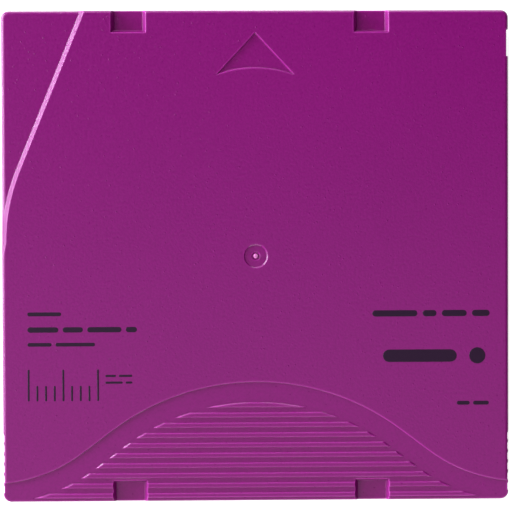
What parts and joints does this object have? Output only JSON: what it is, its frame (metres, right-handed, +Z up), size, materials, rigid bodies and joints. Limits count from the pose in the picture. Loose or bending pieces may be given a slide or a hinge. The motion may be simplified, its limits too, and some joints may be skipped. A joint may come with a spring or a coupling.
{
  "type": "data tape cartridge",
  "caption": "Flat square half-inch tape cartridge of two screwed shells with a sliding access door, a single locked reel, a leader pin and a write-protect tab.",
  "frame": {"origin": "centre of the bottom face", "axes": "+Z up through the thickness, +Y the way the cartridge goes into a drive, +X towards the side with the access door"},
  "size_m": [0.1054, 0.102, 0.0215],
  "materials": {
    "shell_plastic": "fine moulded grain",
    "door_plastic": "fine moulded grain",
    "reel_plastic": "smooth moulded",
    "flange_plastic": "smooth moulded",
    "brake_plastic": "smooth moulded",
    "release_plastic": "smooth moulded",
    "tab_plastic": "smooth moulded",
    "clip_plastic": "smooth moulded",
    "tape_film": "polished edge of wound film",
    "leader_film": "smooth film",
    "pin_steel": "turned",
    "spring_steel": "drawn wire",
    "plate_steel": "stamped sheet",
    "ring_aluminium": "turned",
    "screw_steel": "zinc plated",
    "board_laminate": "circuit laminate",
    "chip_resin": "potting resin"
  },
  "bodies": {
    "case": {"upper_shell": "shell_plastic", "lower_shell": "shell_plastic", "case_screws": "screw_steel", "door_spring": "spring_steel", "brake_spring": "spring_steel", "tape_leader": "leader_film", "leader_pin": "pin_steel", "pin_clip": "clip_plastic", "pin_retainer_spring": "spring_steel", "memory_board": "board_laminate", "memory_chip": "chip_resin"},
    "door": {"access_door": "door_plastic"},
    "reel": {"reel_hub": "reel_plastic", "hub_stiffener_ring": "ring_aluminium", "reel_upper_flange": "flange_plastic", "clutch_plate": "plate_steel", "tape_pack": "tape_film"},
    "brake": {"reel_brake": "brake_plastic"},
    "release": {"brake_release": "release_plastic"},
    "tab": {"write_protect_tab": "tab_plastic"}
  },
  "joints": [
    {"name": "door_slide", "type": "slide", "parent": "case", "child": "door", "axis": [0, -1, 0], "range_m": [0, 0.0215], "stiffness_N_per_m": 25, "springref_m": -0.02, "deforming": ["door_spring"]},
    {"name": "write_protect_slide", "type": "slide", "parent": "case", "child": "tab", "axis": [-1, 0, 0], "range_m": [0, 0.0055]},
    {"name": "reel_spin", "type": "hinge", "parent": "case", "child": "reel", "pos_m": [0, 0, 0], "axis": [0, 0, 1], "continuous": true},
    {"name": "brake_lift", "type": "slide", "parent": "case", "child": "brake", "axis": [0, 0, 1], "range_m": [0, 0.0025], "stiffness_N_per_m": 800, "springref_m": -0.008, "deforming": ["brake_spring"]},
    {"name": "release_lift", "type": "slide", "parent": "reel", "child": "release", "axis": [0, 0, 1], "range_m": [0, 0.0025]}
  ],
  "couplings": [
    {"joint": "release_lift", "follows": "brake_lift", "ratio": 1}
  ]
}
